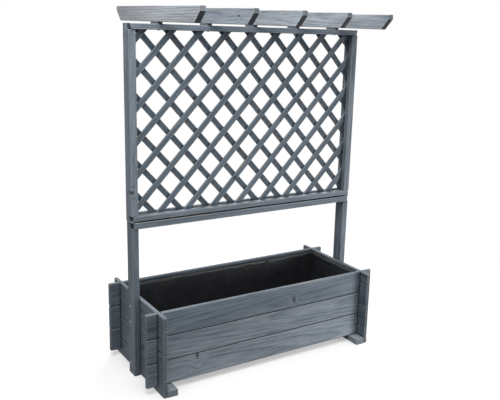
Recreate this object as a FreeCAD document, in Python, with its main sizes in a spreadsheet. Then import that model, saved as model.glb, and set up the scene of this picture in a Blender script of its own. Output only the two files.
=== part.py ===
# Planter box with a trellis and a small pergola top, in stained softwood.
# Millimetres. X runs along the front, Y from front to back, Z up from the ground.
# The origin is on the ground under the middle of the box.
import FreeCAD
import Part
import Sketcher
import os

Vector = FreeCAD.Vector
Rotation = FreeCAD.Rotation

# ---------------------------------------------------------------- driving sizes

DIMENSIONS = (
    # planed boards of the box, crossed at the corners
    ("board_long", 1100, "front and back boards, end to end"),
    ("end_long", 500, "end wall boards, end to end"),
    ("board_high", 100, "height of one full board"),
    ("board_pitch", 101, "courses, one above the other, with room to swell between"),
    ("board_thick", 16, "thickness of every wall board"),
    ("board_edge", 3, "bevel round the edges and ends of a wall board"),
    ("front_reach", 47, "board end standing out past the end wall"),
    ("side_reach", 53, "end board standing out past the front wall"),
    ("notch_play", 0.5, "how much wider a notch is than the board in it"),
    # feet and floor
    ("foot_high", 27.5, "feet and bearer that lift the front boards"),
    ("foot_wide", 43, "width of a foot"),
    ("slat_thick", 16, "floor slat"),
    ("slat_count", 4, "floor slats from front to back"),
    ("slat_gap", 4, "drainage gap between slats"),
    ("bearer_long", 290, "bearer under the middle of the floor, set back out of sight"),
    ("wood_edge", 1.5, "bevel along the edges of the other planed timber"),
    # liner
    ("liner_thick", 1.5, "liner wall"),
    ("liner_air", 1, "space between liner and boards"),
    ("liner_drop", 12, "liner edge below the top of the box"),
    # legs and the three rails across the front of them
    ("leg_thick", 26, "leg, across the end wall"),
    ("leg_deep", 56, "leg, front to back"),
    ("leg_high", 642, "top of the legs above the ground"),
    ("rail_deep", 29, "each rail, front to back"),
    ("rail_proud", 5, "rail standing out in front of the uprights"),
    ("rail_inset", 8, "rail end back from the outer side of the upright"),
    ("rail_slant", 6, "slanted cut at the ends of the top rail"),
    ("cross_rail_high", 25, "rail between the legs"),
    ("bottom_rail_high", 20, "lower rail of the trellis frame"),
    ("top_rail_high", 22, "upper rail of the trellis frame"),
    ("rail_space", 5.5, "slot between the cross rail and the bottom rail"),
    # trellis frame
    ("frame_top", 1387, "top of the trellis frame above the ground"),
    ("stile_wide", 28, "upright of the frame, seen from the front"),
    ("stile_deep", 55, "upright of the frame, front to back"),
    ("stile_web", 11, "outer wall of the rebated upright"),
    ("stile_proud", 2.5, "upright standing out past the leg below it"),
    ("lath_lift", 4, "rear bottom lath above the bottom rail"),
    # lattice
    ("strip_wide", 22, "lattice strip"),
    ("strip_thick", 8, "lattice strip, two layers of these"),
    ("pitch_across", 118.3, "crossings of the lattice, side to side"),
    ("pitch_up", 127.2, "crossings of the lattice, one above the other"),
    ("crossing_drop", 33, "highest crossings below the top of the frame"),
    ("strip_play", 1.5, "strip ends short of the bottom of the rebate"),
    # pergola rafters
    ("rafter_long", 735, "rafter, front to back"),
    ("rafter_high", 57, "rafter"),
    ("rafter_thick", 23, "rafter"),
    ("rafter_nose", 17, "upright part of the rafter's end"),
    ("rafter_cut", 41, "how far the slanted cut runs back under the end"),
    ("rafter_count", 5, "rafters"),
    ("rafter_pitch", 205, "rafters, centre to centre"),
    ("spacer_high", 7, "block between the frame and a rafter"),
    ("spacer_long", 58, "block, front to back"),
    # screws
    ("screw_thick", 4, "shank of a screw"),
    ("head_wide", 8, "head of a screw"),
    ("pan_high", 2.5, "height of a pan head, which bears on the timber"),
    ("hole_play", 0.6, "how much wider a hole is than what is in it"),
    ("leg_screw_long", 38, "countersunk screws through a leg into the end wall"),
    ("leg_screw_low", 48, "lowest screw of a leg above the ground"),
    ("leg_screw_middle", 224, "second screw of a leg above the ground"),
    ("leg_screw_top", 292, "third screw of a leg above the ground"),
    ("leg_screw_back", 10, "leg screws behind the middle of the leg"),
    ("cross_screw_long", 50, "pan head screws through a leg into the cross rail"),
    ("frame_screw_long", 45, "pan head screws up through the cross rail"),
    ("frame_screw_apart", 710, "these screws, one near each leg"),
    ("rafter_screw_long", 65, "pan head screws up through the top rail into a rafter"),
)

doc = FreeCAD.newDocument("planter_with_trellis")
sheet = doc.addObject("Spreadsheet::Sheet", "Size")
for row, (alias, amount, meaning) in enumerate(DIMENSIONS, start=1):
    sheet.set("A%d" % row, meaning)
    sheet.set("B%d" % row, str(amount))
    sheet.setAlias("B%d" % row, alias)
doc.recompute()

NAMES = [alias for alias, amount, meaning in DIMENSIONS]

# Sizes that several pieces share, as formulas of the driving sizes.
SHARED = {
    "box_high": "(foot_high + 2 * board_pitch + board_high)",
    "notch_deep": "((board_high - board_pitch / 2) / 2)",
    "wall_face": "(board_long / 2 - front_reach)",
    "front_face": "(end_long / 2 - side_reach)",
    "inner_half_x": "(board_long / 2 - front_reach - board_thick)",
    "inner_half_y": "(end_long / 2 - side_reach - board_thick)",
    "floor_top": "(foot_high + slat_thick)",
    "foot_middle": "(board_long / 2 - front_reach - board_thick - foot_wide / 2)",
    "leg_middle": "(board_long / 2 - front_reach + leg_thick / 2)",
    "leg_face": "(board_long / 2 - front_reach + leg_thick)",
    "stile_face": "(board_long / 2 - front_reach + leg_thick + stile_proud)",
    "seat_deep": "(rail_deep - rail_proud)",
    "rail_back": "(rail_deep - rail_proud - stile_deep / 2)",
    "lath_deep": "(stile_deep - rail_deep + rail_proud - 2 * strip_thick)",
    "lath_wide": "(stile_wide - stile_web)",
    "bottom_rail_low": "(leg_high + rail_space)",
    "slat_wide": "((end_long - 2 * side_reach - 2 * board_thick - (slat_count + 1) * slat_gap)"
                 " / slat_count)",
    "head_deep": "((head_wide - screw_thick) / 2)",
    "hole_wide": "(screw_thick + hole_play)",
}


def formula(text):
    """Write out the shared sizes, then point every name at the sheet."""
    words = []
    word = ""
    for letter in str(text) + " ":
        if letter.isalnum() or letter == "_":
            word += letter
            continue
        if word in SHARED:
            word = formula(SHARED[word])
        elif word in NAMES:
            word = "Size." + word
        words.append(word + letter)
        word = ""
    return "".join(words).strip()


def number(text):
    """The value of a formula, in millimetres or as a plain count."""
    return float(sheet.evalExpression(formula(text)))


def bind(item, name, text):
    """Tie one property of an object to a formula of the sheet."""
    item.setExpression(name, formula(text))


# ---------------------------------------------------------------- shaping tools

def new_body(label):
    body = doc.addObject("PartDesign::Body", label)
    body.Label = label
    return body


def new_sketch(body, plane):
    """An empty sketch on one of the body's own three planes."""
    sketch = body.newObject("Sketcher::SketchObject", "Sketch")
    support = next(f for f in body.Origin.OriginFeatures if f.Role == plane)
    sketch.AttachmentSupport = [(support, "")]
    sketch.MapMode = "FlatFace"
    return sketch


def pin(sketch, geometry, corner, along, text):
    """Hold one corner at a formula's distance from the origin, along X or Y."""
    amount = number(text)
    if abs(amount) < 1e-9:
        axis = -2 if along == "X" else -1
        sketch.addConstraint(Sketcher.Constraint("PointOnObject", geometry, corner, axis))
        return
    constraint = Sketcher.Constraint("Distance" + along, -1, 1, geometry, corner, amount)
    index = sketch.addConstraint(constraint)
    bind(sketch, "Constraints[%d]" % index, text)


def add_outline(sketch, corners):
    """Draw a closed outline of straight lines through corners given as formulas."""
    first = sketch.GeometryCount
    points = [Vector(number(x), number(y), 0) for x, y in corners]
    count = len(points)
    for k in range(count):
        line = Part.LineSegment(points[k], points[(k + 1) % count])
        sketch.addGeometry(line, False)
    for k in range(count):
        after = first + (k + 1) % count
        sketch.addConstraint(Sketcher.Constraint("Coincident", first + k, 2, after, 1))
    for k, (x, y) in enumerate(corners):
        pin(sketch, first + k, 1, "X", x)
        pin(sketch, first + k, 1, "Y", y)


def add_rectangle(sketch, left, right, low, high):
    add_outline(sketch, ((left, low), (right, low), (right, high), (left, high)))


def add_circle(sketch, x, y, wide):
    """Draw a circle of a given diameter."""
    middle = Vector(number(x), number(y), 0)
    circle = Part.Circle(middle, Vector(0, 0, 1), number(wide) / 2)
    index = sketch.addGeometry(circle, False)
    pin(sketch, index, 3, "X", x)
    pin(sketch, index, 3, "Y", y)
    size = sketch.addConstraint(Sketcher.Constraint("Diameter", index, number(wide)))
    bind(sketch, "Constraints[%d]" % size, wide)


def pad(body, sketch, length):
    """Raise a sketch equally to both sides of its plane."""
    feature = body.newObject("PartDesign::Pad", "Pad")
    feature.Profile = sketch
    feature.Midplane = True
    bind(feature, "Length", length)
    sketch.Visibility = False
    return feature


def cut_through(body, sketch):
    """Cut a sketch through the whole piece."""
    feature = body.newObject("PartDesign::Pocket", "Pocket")
    feature.Profile = sketch
    feature.Type = "ThroughAll"
    feature.Midplane = True
    sketch.Visibility = False
    return feature


def bore(body, plane, places, depth, mouth):
    """Bore round holes of a given depth, from the level of their mouths on both sides."""
    sketch = new_sketch(body, plane)
    for x, y in places:
        add_circle(sketch, x, y, "hole_wide")
    bind(sketch, "AttachmentOffset.Base.z", mouth)
    feature = body.newObject("PartDesign::Pocket", "Pocket")
    feature.Profile = sketch
    feature.Midplane = True
    bind(feature, "Length", "2 * (%s)" % depth)
    sketch.Visibility = False


def bevel_along(body, feature, axes, size):
    """Bevel every straight edge of the last feature that runs along one of the axes."""
    doc.recompute()
    edges = []
    for index, edge in enumerate(feature.Shape.Edges, start=1):
        line = edge.Vertexes[-1].Point - edge.Vertexes[0].Point
        if any(abs(abs(line.dot(axis)) - edge.Length) < 1e-6 for axis in axes):
            edges.append("Edge%d" % index)
    bevel = body.newObject("PartDesign::Chamfer", "Bevel")
    bevel.Base = (feature, edges)
    bind(bevel, "Size", size)


def drill(body, plane, places):
    """Drill round holes right through, at places given as pairs of formulas."""
    sketch = new_sketch(body, plane)
    for x, y in places:
        add_circle(sketch, x, y, "hole_wide")
    return cut_through(body, sketch)


def countersink(body, feature, axis, level):
    """Widen the mouths of round holes on the face at a given level along an axis."""
    doc.recompute()
    mouths = []
    for index, edge in enumerate(feature.Shape.Edges, start=1):
        if isinstance(edge.Curve, Part.Circle):
            if abs(edge.Curve.Center.dot(axis) - number(level)) < 1e-6:
                mouths.append("Edge%d" % index)
    sink = body.newObject("PartDesign::Chamfer", "Countersink")
    sink.Base = (feature, mouths)
    bind(sink, "Size", "head_deep")


def place(item, x, y, z, turn=None):
    """Put a piece where three formulas say, turned about its own origin first."""
    item.Placement = FreeCAD.Placement(Vector(), turn or Rotation())
    for axis, text in zip("xyz", (x, y, z)):
        bind(item, "Placement.Base." + axis, text)


ALONG_X = Vector(1, 0, 0)
ALONG_Y = Vector(0, 1, 0)
ALONG_Z = Vector(0, 0, 1)
QUARTER_TURN = Rotation(ALONG_Z, 90)

pieces = []


def keep(item):
    """Remember a finished piece, which gets a file of its own."""
    pieces.append(item)


def sawn_bar(label, length, deep, high):
    """A bar along X, centred, standing on its lower face, with sharp edges."""
    body = new_body(label)
    sketch = new_sketch(body, "YZ_Plane")
    add_rectangle(sketch, "-%s / 2" % deep, "%s / 2" % deep, "0", high)
    pad(body, sketch, length)
    return body


def planed_bar(label, length, deep, high):
    """The same bar with its long edges bevelled."""
    body = sawn_bar(label, length, deep, high)
    bevel_along(body, body.Tip, (ALONG_X,), "wood_edge")
    return body


# ---------------------------------------------------------------- crossed boards

def wall_board(label, length, high, crossing, low_notch, top_notch):
    """A wall board, notched about a quarter of its height where it crosses its neighbours."""
    body = sawn_bar(label, length, "board_thick", high)
    bevel_along(body, body.Tip, (ALONG_X, ALONG_Y, ALONG_Z), "board_edge")
    sketch = new_sketch(body, "XZ_Plane")
    half = "(board_thick + notch_play) / 2"
    for side in ("-1 * ", ""):
        middle = "%s(%s - board_thick / 2)" % (side, crossing)
        left = "%s - %s" % (middle, half)
        right = "%s + %s" % (middle, half)
        if low_notch:
            add_rectangle(sketch, left, right, "0", "notch_deep")
        if top_notch:
            add_rectangle(sketch, left, right, "%s - notch_deep" % high, high)
    cut_through(body, sketch)
    return body


# The front and back walls are three full boards high and stand on the feet.
COURSES = ("lower", "middle", "upper")
for wall, side in (("front", "-"), ("back", "")):
    for course, name in enumerate(COURSES):
        board = wall_board("%s_board_%s" % (wall, name), "board_long", "board_high",
                           "wall_face", True, True)
        place(board, "0", "%s(front_face - board_thick / 2)" % side,
              "foot_high + %d * board_pitch" % course)
        keep(board)

# The end walls are staggered by half a course, so they start with a cut-down board
# that reaches the ground and finish with a half board.
END_COURSES = (
    ("bottom", "0", "(foot_high + board_high - board_pitch / 2)", False, True),
    ("lower", "(foot_high + board_pitch / 2)", "board_high", True, True),
    ("upper", "(foot_high + 3 * board_pitch / 2)", "board_high", True, True),
    ("top", "(foot_high + 5 * board_pitch / 2)", "(board_high - board_pitch / 2)", True, False),
)
LEG_SCREW_HEIGHTS = {"bottom": "leg_screw_low", "upper": "leg_screw_middle",
                     "top": "leg_screw_top"}
for wall, side, outside in (("left", "-", "-board_thick / 2"), ("right", "", "board_thick / 2")):
    for name, low, high, low_notch, top_notch in END_COURSES:
        board = wall_board("%s_end_board_%s" % (wall, name), "end_long", high,
                           "front_face", low_notch, top_notch)
        if name in LEG_SCREW_HEIGHTS:
            height = "%s - %s" % (LEG_SCREW_HEIGHTS[name], low)
            bore(board, "XZ_Plane", (("leg_screw_back", height),),
                 "leg_screw_long - leg_thick + hole_play", outside)
        place(board, "%s(wall_face - board_thick / 2)" % side, "0", low, QUARTER_TURN)
        keep(board)

# ---------------------------------------------------------------- feet and floor

for label, x in (("foot_left", "-foot_middle"), ("foot_right", "foot_middle")):
    foot = planed_bar(label, "end_long", "foot_wide", "foot_high")
    place(foot, x, "0", "0", QUARTER_TURN)
    keep(foot)

# The floor is out of sight, so its timber is left as sawn, with sharp edges.
bearer = sawn_bar("floor_bearer", "bearer_long", "foot_wide", "foot_high")
place(bearer, "0", "0", "0", QUARTER_TURN)
keep(bearer)

for index in range(int(number("slat_count"))):
    slat = sawn_bar("floor_slat_%d" % (index + 1), "2 * inner_half_x - slat_gap", "slat_wide",
                    "slat_thick")
    place(slat, "0", "-inner_half_y + slat_gap + slat_wide / 2 + %d * (slat_wide + slat_gap)"
          % index, "foot_high")
    keep(slat)

# ---------------------------------------------------------------- liner

liner = new_body("liner")
LINER_HIGH = "(box_high - liner_drop - floor_top)"
LINER_X = "(inner_half_x - liner_air)"
LINER_Y = "(inner_half_y - liner_air)"
sketch = new_sketch(liner, "XY_Plane")
add_rectangle(sketch, "-" + LINER_X, LINER_X, "-" + LINER_Y, LINER_Y)
bag = liner.newObject("PartDesign::Pad", "Pad")
bag.Profile = sketch
bind(bag, "Length", LINER_HIGH)
sketch = new_sketch(liner, "XY_Plane")
add_rectangle(sketch, "-%s + liner_thick" % LINER_X, "%s - liner_thick" % LINER_X,
              "-%s + liner_thick" % LINER_Y, "%s - liner_thick" % LINER_Y)
bind(sketch, "AttachmentOffset.Base.z", "liner_thick")
hollow = liner.newObject("PartDesign::Pocket", "Hollow")
hollow.Profile = sketch
hollow.Type = "ThroughAll"
hollow.Reversed = True
place(liner, "0", "0", "floor_top")
keep(liner)

# ---------------------------------------------------------------- legs

CROSS_SCREW_HIGH = "(leg_high - cross_rail_high / 2)"

for wall, side in (("left", "-"), ("right", "")):
    leg = new_body("leg_" + wall)
    sketch = new_sketch(leg, "XY_Plane")
    add_rectangle(sketch, "-leg_thick / 2", "leg_thick / 2", "-leg_deep / 2", "leg_deep / 2")
    post = leg.newObject("PartDesign::Pad", "Pad")
    post.Profile = sketch
    bind(post, "Length", "leg_high")
    bevel_along(leg, post, (ALONG_Z,), "wood_edge")
    # seat for the cross rail in the front of the leg's top
    seat = new_sketch(leg, "YZ_Plane")
    add_rectangle(seat, "-leg_deep", "-leg_deep / 2 + seat_deep",
                  "leg_high - cross_rail_high", "leg_high + rail_space")
    cut_through(leg, seat)
    # countersunk holes for the screws into the end wall, plain one into the cross rail
    heights = [("leg_screw_back", height) for height in LEG_SCREW_HEIGHTS.values()]
    countersink(leg, drill(leg, "YZ_Plane", heights), ALONG_X, "%sleg_thick / 2" % side)
    drill(leg, "XZ_Plane", (("0", CROSS_SCREW_HIGH),))
    place(leg, "%sleg_middle" % side, "0", "0")
    keep(leg)

# ---------------------------------------------------------------- front rails

FRAME_SCREW_PLACES = ("-frame_screw_apart / 2", "frame_screw_apart / 2")
RAIL_MIDDLE_Y = "(rail_back - rail_deep / 2)"
CROSS_RAIL_Y = "(seat_deep - leg_deep / 2 - rail_deep / 2)"
RAFTER_PLACES = ["(%d - (rafter_count - 1) / 2) * rafter_pitch" % k
                 for k in range(int(number("rafter_count")))]

cross_rail = planed_bar("cross_rail", "2 * (leg_face - rail_inset)", "rail_deep",
                        "cross_rail_high")
drill(cross_rail, "XY_Plane",
      [(x, "%s - %s" % (RAIL_MIDDLE_Y, CROSS_RAIL_Y)) for x in FRAME_SCREW_PLACES])
bore(cross_rail, "XZ_Plane",
     [(x, "cross_rail_high / 2") for x in ("-leg_middle", "leg_middle")],
     "cross_screw_long - leg_deep + seat_deep + hole_play", "-rail_deep / 2")
place(cross_rail, "0", CROSS_RAIL_Y, "leg_high - cross_rail_high")
keep(cross_rail)

bottom_rail = planed_bar("bottom_rail", "2 * (stile_face - rail_inset)", "rail_deep",
                         "bottom_rail_high")
bore(bottom_rail, "XY_Plane", [(x, "0") for x in FRAME_SCREW_PLACES],
     "frame_screw_long - cross_rail_high - rail_space + hole_play", "0")
place(bottom_rail, "0", RAIL_MIDDLE_Y, "bottom_rail_low")
keep(bottom_rail)

# The top rail's ends are cut on a slant, longer at the top.
top_rail = new_body("top_rail")
sketch = new_sketch(top_rail, "XZ_Plane")
TOP_RAIL_HALF = "(stile_face - rail_inset + rail_slant / 2)"
add_outline(sketch, (("-%s + rail_slant" % TOP_RAIL_HALF, "0"),
                     ("%s - rail_slant" % TOP_RAIL_HALF, "0"),
                     (TOP_RAIL_HALF, "top_rail_high"),
                     ("-" + TOP_RAIL_HALF, "top_rail_high")))
bar = pad(top_rail, sketch, "rail_deep")
bevel_along(top_rail, bar, (ALONG_X,), "wood_edge")
drill(top_rail, "XY_Plane", [(x, "0") for x in RAFTER_PLACES])
place(top_rail, "0", RAIL_MIDDLE_Y, "frame_top - top_rail_high")
keep(top_rail)

# ---------------------------------------------------------------- stiles

for wall, side in (("left", "-"), ("right", "")):
    stile = new_body("stile_" + wall)
    sketch = new_sketch(stile, "XY_Plane")
    add_rectangle(sketch, "-stile_wide / 2", "stile_wide / 2", "-stile_deep / 2",
                  "stile_deep / 2")
    post = stile.newObject("PartDesign::Pad", "Pad")
    post.Profile = sketch
    bind(post, "Length", "frame_top - leg_high")
    bevel_along(stile, post, (ALONG_Z,), "wood_edge")
    # rebate behind the front lip, for the lattice and the rear lath
    rebate = new_sketch(stile, "XY_Plane")
    inner = "-1 * (%s(stile_wide / 2))" % side
    wall_line = "%s(stile_wide / 2 - stile_web)" % side
    ends = (inner, wall_line) if side == "" else (wall_line, inner)
    add_rectangle(rebate, ends[0], ends[1], "rail_back", "stile_deep / 2 + wood_edge")
    cut_through(stile, rebate)
    # seats for the two rails, through the front lip
    seat = new_sketch(stile, "YZ_Plane")
    low = "rail_space"
    high = "(frame_top - leg_high)"
    add_rectangle(seat, "-stile_deep", "rail_back", low, "%s + bottom_rail_high" % low)
    add_rectangle(seat, "-stile_deep", "rail_back", "%s - top_rail_high" % high,
                  "%s + rail_space" % high)
    cut_through(stile, seat)
    place(stile, "%s(stile_face - stile_wide / 2)" % side, "0", "leg_high")
    keep(stile)

# ---------------------------------------------------------------- rear laths

LATH_MIDDLE_Y = "(stile_deep / 2 - lath_deep / 2)"

for name, high, low in (("rear_lath_top", "top_rail_high", "frame_top - top_rail_high"),
                        ("rear_lath_bottom", "(bottom_rail_high + lath_lift)",
                         "bottom_rail_low")):
    lath = planed_bar(name, "2 * (stile_face - stile_wide)", "lath_deep", high)
    place(lath, "0", LATH_MIDDLE_Y, low)
    keep(lath)

for wall, side in (("left", "-"), ("right", "")):
    lath = new_body("rear_lath_" + wall)
    sketch = new_sketch(lath, "XY_Plane")
    add_rectangle(sketch, "-lath_wide / 2", "lath_wide / 2", "-lath_deep / 2",
                  "lath_deep / 2")
    post = lath.newObject("PartDesign::Pad", "Pad")
    post.Profile = sketch
    bind(post, "Length", "frame_top - bottom_rail_low")
    bevel_along(lath, post, (ALONG_Z,), "wood_edge")
    place(lath, "%s(stile_face - stile_web - lath_wide / 2)" % side, LATH_MIDDLE_Y,
          "bottom_rail_low")
    keep(lath)

# ---------------------------------------------------------------- lattice

# Two layers of strips lean opposite ways.  Every strip is a long bar, cut off by the
# upright rectangle that the rebate of the frame leaves free.
SLOPE = "atan(pitch_up / pitch_across)"
CROSSING_TOP = "(frame_top - crossing_drop)"
PANEL_X = "(stile_face - stile_web - strip_play)"
PANEL_LOW = "(bottom_rail_low + strip_play)"
PANEL_HIGH = "(frame_top - strip_play)"
STRIPS_PER_LAYER = 14
STRIPS_PER_NODE = 2


def panel_block(name, y_low):
    """The space that one layer of the lattice fills."""
    block = doc.addObject("Part::Box", name)
    bind(block, "Length", "2 * " + PANEL_X)
    bind(block, "Width", "strip_thick")
    bind(block, "Height", "%s - %s" % (PANEL_HIGH, PANEL_LOW))
    place(block, "-" + PANEL_X, y_low, PANEL_LOW)
    return block


def strip(name, lean, index, y_low, block):
    """One strip of a layer: a bar through the crossings of its line, cut to the panel."""
    line = index - (STRIPS_PER_LAYER - 1) / 2
    bar = doc.addObject("Part::Box", name + "_bar")
    reach = "(2 * (frame_top - leg_high))"
    bind(bar, "Length", "2 * " + reach)
    bind(bar, "Width", "strip_thick")
    bind(bar, "Height", "strip_wide")
    bar.Placement = FreeCAD.Placement(Vector(), Rotation(ALONG_Y, 1))
    bind(bar, "Placement.Rotation.Angle", "%s%s" % ("-1 * " if lean > 0 else "", SLOPE))
    # the bar's own corner, moved back so that its middle line passes the crossing
    across = "%s * pitch_across" % line
    middle_high = "(%s - 5 * pitch_up / 2)" % CROSSING_TOP
    along_x = "(%s * cos(%s) + %d * strip_wide / 2 * -1 * sin(%s))" % (reach, SLOPE, lean, SLOPE)
    along_z = "(%d * %s * sin(%s) + strip_wide / 2 * cos(%s))" % (lean, reach, SLOPE, SLOPE)
    bind(bar, "Placement.Base.x", "%s - %s" % (across, along_x))
    bind(bar, "Placement.Base.y", y_low)
    bind(bar, "Placement.Base.z", "%s - %s" % (middle_high, along_z))
    cut = doc.addObject("Part::Common", name)
    cut.Base = bar
    cut.Tool = block
    return cut


LAYERS = (
    ("front", 1, "rail_back"),
    ("back", -1, "rail_back + strip_thick"),
)
for layer, lean, y_low in LAYERS:
    block = panel_block("panel_" + layer, y_low)
    for node in range(STRIPS_PER_LAYER // STRIPS_PER_NODE):
        strips = []
        for k in range(STRIPS_PER_NODE):
            index = node * STRIPS_PER_NODE + k
            strips.append(strip("strip_%s_%d" % (layer, index + 1), lean, index, y_low, block))
        group = doc.addObject("Part::Compound", "lattice_%s_%d" % (layer, node + 1))
        group.Label = "lattice_%s_%d" % (layer, node + 1)
        group.Links = strips
        keep(group)

# ---------------------------------------------------------------- rafters

for index, x in enumerate(RAFTER_PLACES, start=1):
    rafter = new_body("rafter_%d" % index)
    sketch = new_sketch(rafter, "YZ_Plane")
    half = "rafter_long / 2"
    add_outline(sketch, (("-%s + rafter_cut" % half, "0"),
                         ("%s - rafter_cut" % half, "0"),
                         (half, "rafter_high - rafter_nose"),
                         (half, "rafter_high"),
                         ("-" + half, "rafter_high"),
                         ("-" + half, "rafter_high - rafter_nose")))
    board = pad(rafter, sketch, "rafter_thick")
    bevel_along(rafter, board, (ALONG_Y,), "wood_edge")
    bore(rafter, "XY_Plane", (("0", RAIL_MIDDLE_Y),),
         "rafter_screw_long - top_rail_high - spacer_high + hole_play", "0")
    place(rafter, x, "0", "frame_top + spacer_high")
    keep(rafter)

spacers = []
for index, x in enumerate(RAFTER_PLACES, start=1):
    block = new_body("spacer_%d" % index)
    sketch = new_sketch(block, "XY_Plane")
    add_rectangle(sketch, "-rafter_thick / 2", "rafter_thick / 2", "-spacer_long / 2",
                  "spacer_long / 2")
    slab = block.newObject("PartDesign::Pad", "Pad")
    slab.Profile = sketch
    bind(slab, "Length", "spacer_high")
    drill(block, "XY_Plane", (("0", RAIL_MIDDLE_Y),))
    place(block, x, "0", "frame_top")
    spacers.append(block)
group = doc.addObject("Part::Compound", "rafter_spacers")
group.Label = "rafter_spacers"
group.Links = spacers
keep(group)

# ---------------------------------------------------------------- screws

def screw(name, head_form, length, x, y, z, turn):
    """A screw whose shank starts at the place given and runs along the turned Z axis."""
    if head_form == "pan":
        head = doc.addObject("Part::Cylinder", name + "_head")
        bind(head, "Radius", "head_wide / 2")
        bind(head, "Height", "pan_high")
        bind(head, "Placement.Base.z", "-pan_high")
    else:
        head = doc.addObject("Part::Cone", name + "_head")
        bind(head, "Radius1", "head_wide / 2")
        bind(head, "Radius2", "screw_thick / 2")
        bind(head, "Height", "head_deep")
    shank = doc.addObject("Part::Cylinder", name + "_shank")
    bind(shank, "Radius", "screw_thick / 2")
    bind(shank, "Height", length)
    whole = doc.addObject("Part::Fuse", name)
    whole.Base = head
    whole.Tool = shank
    place(whole, x, y, z, turn)
    return whole


def screw_group(label, head_form, length, places):
    """All the screws of one kind, at places given as x, y, z and a direction."""
    group = doc.addObject("Part::Compound", label)
    group.Label = label
    group.Links = [screw("%s_%d" % (label, index), head_form, length, x, y, z, turn)
                   for index, (x, y, z, turn) in enumerate(places, start=1)]
    keep(group)


INTO_RIGHT = Rotation(ALONG_Y, 90)
INTO_LEFT = Rotation(ALONG_Y, -90)
FORWARD = Rotation(ALONG_X, 90)
UP = Rotation()

screw_group("leg_screws", "countersunk", "leg_screw_long",
            [(side + "leg_face", "leg_screw_back", height, turn)
             for side, turn in (("-", INTO_RIGHT), ("", INTO_LEFT))
             for height in LEG_SCREW_HEIGHTS.values()])
screw_group("cross_rail_screws", "pan", "cross_screw_long",
            [(side + "leg_middle", "leg_deep / 2", CROSS_SCREW_HIGH, FORWARD)
             for side in ("-", "")])
screw_group("frame_screws", "pan", "frame_screw_long",
            [(x, RAIL_MIDDLE_Y, "leg_high - cross_rail_high", UP) for x in FRAME_SCREW_PLACES])
screw_group("rafter_screws", "pan", "rafter_screw_long",
            [(x, RAIL_MIDDLE_Y, "frame_top - top_rail_high", UP) for x in RAFTER_PLACES])

# ---------------------------------------------------------------- checks and files

doc.recompute()
for item in doc.Objects:
    faults = [word for word in item.State if word in ("Invalid", "Error")]
    if faults:
        raise RuntimeError("%s is %s" % (item.Label, faults))
for piece in pieces:
    if piece.Shape.isNull() or not piece.Shape.isValid() or not piece.Shape.Solids:
        raise RuntimeError("%s has no valid solid" % piece.Label)

os.makedirs("parts", exist_ok=True)
for piece in pieces:
    piece.Shape.exportStep("parts/%s.step" % piece.Label)
print("%d pieces, %d solids" % (len(pieces), sum(len(p.Shape.Solids) for p in pieces)))
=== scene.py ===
# %% [markdown]
# # A planter with a trellis
#
# The real object is a long box of crossed softwood boards.  A leg on each end carries a trellis
# frame with a diamond lattice, and five short rafters lie across the top.  All the timber is
# pine in a grey-blue stain that lets the grain through.
#
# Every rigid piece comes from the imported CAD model, in its place and at its real size.  It could
# be modelled here again, but two sets of sizes drift apart.  So this script only gives each piece
# its finish, folds a film liner into the box, adds the small fasteners, and lights the whole.

# %% Load the frame
import math
import random

import bpy
from mathutils import Matrix, Vector, noise


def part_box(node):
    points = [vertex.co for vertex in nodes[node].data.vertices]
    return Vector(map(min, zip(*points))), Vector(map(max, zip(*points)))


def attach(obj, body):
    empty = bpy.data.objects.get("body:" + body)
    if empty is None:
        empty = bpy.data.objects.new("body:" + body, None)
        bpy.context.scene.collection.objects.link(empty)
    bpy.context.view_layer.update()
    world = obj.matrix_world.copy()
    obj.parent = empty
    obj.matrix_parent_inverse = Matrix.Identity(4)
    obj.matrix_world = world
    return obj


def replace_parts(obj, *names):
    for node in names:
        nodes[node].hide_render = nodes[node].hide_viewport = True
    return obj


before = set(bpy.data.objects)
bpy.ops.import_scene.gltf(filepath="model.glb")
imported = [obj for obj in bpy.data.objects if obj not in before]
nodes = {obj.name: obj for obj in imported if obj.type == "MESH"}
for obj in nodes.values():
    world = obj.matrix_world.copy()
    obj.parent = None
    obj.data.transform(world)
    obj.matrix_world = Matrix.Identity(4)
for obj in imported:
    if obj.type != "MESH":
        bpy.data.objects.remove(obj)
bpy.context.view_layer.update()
scene = bpy.context.scene

MM = 0.001  # sizes below are in millimetres, and Blender works in metres
BODY = "root"  # nothing moves, so every piece rides on one body
print("pieces from the CAD model:", len(nodes))

# %% [markdown]
# Colours are picked as hex values, the way a screen shows them.  Blender's sockets want linear
# light, so one function does the change for every colour in the script.

# %% Colours
def linear(hex_colour):
    """An sRGB hex colour as the linear red, green, blue and alpha of a socket."""
    channels = [int(hex_colour[k:k + 2], 16) / 255 for k in (1, 3, 5)]
    bent = [c / 12.92 if c <= 0.04045 else ((c + 0.055) / 1.055) ** 2.4 for c in channels]
    return [*bent, 1.0]


print("mid grey is", [round(c, 3) for c in linear("#808080")])

# %% [markdown]
# A material is a small network of nodes.  Writing one by hand takes the same steps every time:
# add the node, set its options, and give each of its sockets a number, a colour or a link.  This
# helper does all of them.  It puts ShaderNode before the kind, as Blender wants it, and a node
# handed to it as a value stands for its first output.

# %% One helper for nodes
def add_node(tree, kind, inputs=None, **options):
    """Add a node, set its options, and give its sockets values or links."""
    node = tree.nodes.new("ShaderNode" + kind)
    for name, option in options.items():
        setattr(node, name, option)
    for socket, value in (inputs or {}).items():
        if isinstance(value, bpy.types.Node):
            value = value.outputs[0]
        if isinstance(value, bpy.types.NodeSocket):
            tree.links.new(value, node.inputs[socket])
        else:
            node.inputs[socket].default_value = value
    return node


def new_material(name):
    """An empty material, with its node tree and its Principled shader."""
    material = bpy.data.materials.new(name)
    material.use_nodes = True
    return material, material.node_tree, material.node_tree.nodes["Principled BSDF"]


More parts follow.
